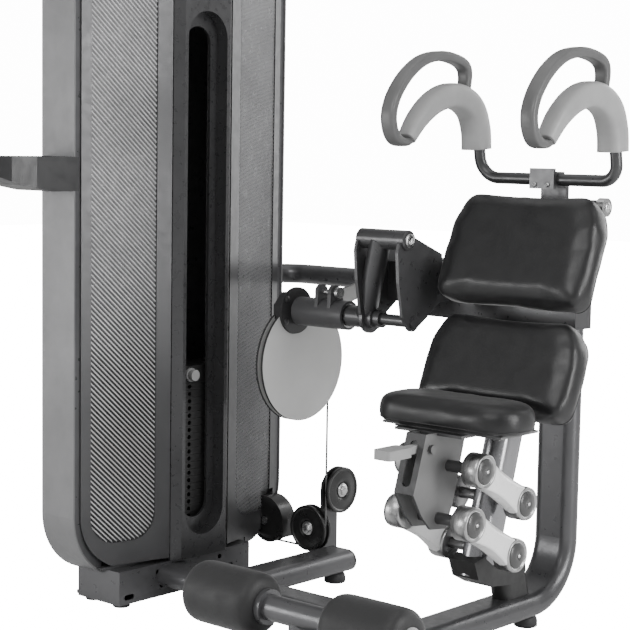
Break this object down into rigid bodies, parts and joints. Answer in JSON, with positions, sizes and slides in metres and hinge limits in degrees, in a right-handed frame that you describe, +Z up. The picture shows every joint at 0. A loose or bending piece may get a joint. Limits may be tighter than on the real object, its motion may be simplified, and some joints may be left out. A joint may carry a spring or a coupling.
{
  "type": "ab crunch machine",
  "caption": "Seated abdominal crunch machine with a weight-stack tower, swinging upper pad with shoulder arches and hand loops, an adjustable seat and foam foot rollers",
  "frame": {"origin": "centre of the footprint, on the floor", "axes": "+Z up; -Y the way the user faces; +X from the weight tower towards the free side"},
  "size_m": [1.207, 0.985, 1.6],
  "materials": {
    "frame_paint": "satin dark metallic grey",
    "shell_paint": "satin mid grey",
    "panel_paint": "satin dark grey",
    "mesh": "semi-gloss perforated",
    "light_grey": "satin light grey",
    "silver": "silver-white paint on castings",
    "steel": "machined",
    "chrome": "polished",
    "iron": "black coated",
    "black_plastic": "moulded",
    "grey_plastic": "moulded, satin",
    "rubber": "matt",
    "vinyl": "black upholstery over foam",
    "foam": "foam roller with a vinyl sleeve"
  },
  "bodies": {
    "frame": {"seat_column": "frame_paint", "cross_beam": "frame_paint", "stabiliser_beam": "frame_paint", "tower_base_beam": "frame_paint", "bridge_tube": "frame_paint", "tower_inner_frame": "frame_paint", "seat_mast": "frame_paint", "roller_post": "frame_paint", "lower_pad_bracket": "frame_paint", "tower_back_panel": "frame_paint", "tower_shell": "shell_paint", "front_panels": "panel_paint", "tower_spine": "panel_paint", "mesh_panels": "mesh", "bearing_housing": "light_grey", "pulley_brackets": "light_grey", "bearing_bushes": "steel", "pulley_axles": "steel", "base_pivot_pins": "steel", "drive_cable": "steel", "guide_rods": "chrome", "weight_plates": "iron", "mast_socket": "iron", "tube_caps": "black_plastic", "side_tray": "black_plastic", "pulley_cover": "black_plastic", "rubber_feet": "rubber", "stack_bumpers": "rubber", "lower_back_pad": "vinyl"},
    "crunch_arm": {"drive_cam": "light_grey", "main_shaft": "steel", "crank_arm": "frame_paint", "side_plates": "frame_paint", "arm_beam": "frame_paint", "harness_post": "frame_paint", "harness_tube": "frame_paint", "left_shoulder_arch": "grey_plastic", "right_shoulder_arch": "grey_plastic", "left_loop_handle": "grey_plastic", "right_loop_handle": "grey_plastic", "pad_hinge_shaft": "steel", "return_spring": "steel"},
    "upper_pad": {"upper_back_pad": "vinyl", "upper_pad_plate": "frame_paint"},
    "lifting_weight": {"head_plate": "iron", "selector_rod": "steel"},
    "pin": {"selector_pin": "black_plastic"},
    "start_pin": {"adjuster_pin": "steel"},
    "pulley_deflector": {"deflector_pulley": "black_plastic"},
    "pulley_front": {"turn_pulley_front": "black_plastic"},
    "pulley_tower": {"turn_pulley_tower": "black_plastic"},
    "pulley_top_side": {"top_pulley_side": "black_plastic"},
    "pulley_top_stack": {"top_pulley_stack": "black_plastic"},
    "lower_link_pair": {"lower_links": "silver"},
    "upper_link_pair": {"upper_links": "silver"},
    "seat": {"seat_carriage": "frame_paint", "seat_cushion": "vinyl"},
    "lever": {"seat_lever": "grey_plastic"},
    "left_roller": {"left_foot_roller": "foam"},
    "right_roller": {"right_foot_roller": "foam"}
  },
  "joints": [
    {"name": "crunch", "type": "hinge", "parent": "frame", "child": "crunch_arm", "pos_m": [-0.1085, 0.2075, 0.663], "axis": [1, 0, 0], "range_deg": [0, 60], "deforming": ["drive_cable"]},
    {"name": "weight_lift", "type": "slide", "parent": "frame", "child": "lifting_weight", "axis": [0, 0, 1], "range_m": [0, 0.15]},
    {"name": "deflector_turn", "type": "hinge", "parent": "frame", "child": "pulley_deflector", "pos_m": [-0.2305, 0.3875, 0.214], "axis": [1, 0, 0], "range_deg": [-170, 0]},
    {"name": "front_pulley_turn", "type": "hinge", "parent": "frame", "child": "pulley_front", "pos_m": [-0.2785, 0.3395, 0.12], "axis": [0, 1, 0], "range_deg": [-170, 0]},
    {"name": "tower_pulley_turn", "type": "hinge", "parent": "frame", "child": "pulley_tower", "pos_m": [-0.4105, 0.3395, 0.12], "axis": [0, 1, 0], "range_deg": [-170, 0]},
    {"name": "top_side_turn", "type": "hinge", "parent": "frame", "child": "pulley_top_side", "pos_m": [-0.4585, 0.2915, 1.5], "axis": [1, 0, 0], "range_deg": [-170, 0]},
    {"name": "top_stack_turn", "type": "hinge", "parent": "frame", "child": "pulley_top_stack", "pos_m": [-0.4585, 0.1075, 1.5], "axis": [1, 0, 0], "range_deg": [-170, 0]},
    {"name": "selector_pull", "type": "slide", "parent": "lifting_weight", "child": "pin", "axis": [1, 0, 0], "range_m": [0, 0.055]},
    {"name": "start_pin_pull", "type": "slide", "parent": "frame", "child": "start_pin", "axis": [1, 0, 0], "range_m": [0, 0.03]},
    {"name": "upper_pad_tilt", "type": "hinge", "parent": "crunch_arm", "child": "upper_pad", "pos_m": [0.3415, 0.4375, 0.921], "axis": [1, 0, 0], "range_deg": [-10, 0]},
    {"name": "seat_raise", "type": "hinge", "parent": "frame", "child": "lower_link_pair", "pos_m": [0.3415, 0.1645, 0.208], "axis": [1, 0, 0], "range_deg": [-5, 30]},
    {"name": "seat_raise_upper", "type": "hinge", "parent": "frame", "child": "upper_link_pair", "pos_m": [0.3415, 0.1955, 0.312], "axis": [1, 0, 0], "range_deg": [-5, 30]},
    {"name": "seat_level", "type": "hinge", "parent": "lower_link_pair", "child": "seat", "pos_m": [0.3415, 0.0145, 0.296], "axis": [1, 0, 0], "range_deg": [-30, 5]},
    {"name": "seat_lever_lift", "type": "hinge", "parent": "seat", "child": "lever", "pos_m": [0.3265, -0.0165, 0.441], "axis": [1, 0, 0], "range_deg": [-12, 0]},
    {"name": "left_roller_spin", "type": "hinge", "parent": "frame", "child": "left_roller", "pos_m": [0.1715, -0.3925, 0.176], "axis": [1, 0, 0], "continuous": true},
    {"name": "right_roller_spin", "type": "hinge", "parent": "frame", "child": "right_roller", "pos_m": [0.5115, -0.3925, 0.176], "axis": [1, 0, 0], "continuous": true}
  ],
  "couplings": [
    {"joint": "weight_lift", "follows": "crunch", "m_per_rad": 0.132},
    {"joint": "deflector_turn", "follows": "crunch", "ratio": -2.75},
    {"joint": "front_pulley_turn", "follows": "crunch", "ratio": -2.75},
    {"joint": "tower_pulley_turn", "follows": "crunch", "ratio": -2.75},
    {"joint": "top_side_turn", "follows": "crunch", "ratio": -2.75},
    {"joint": "top_stack_turn", "follows": "crunch", "ratio": -2.75},
    {"joint": "seat_raise_upper", "follows": "seat_raise", "ratio": 1},
    {"joint": "seat_level", "follows": "seat_raise", "ratio": -1}
  ]
}
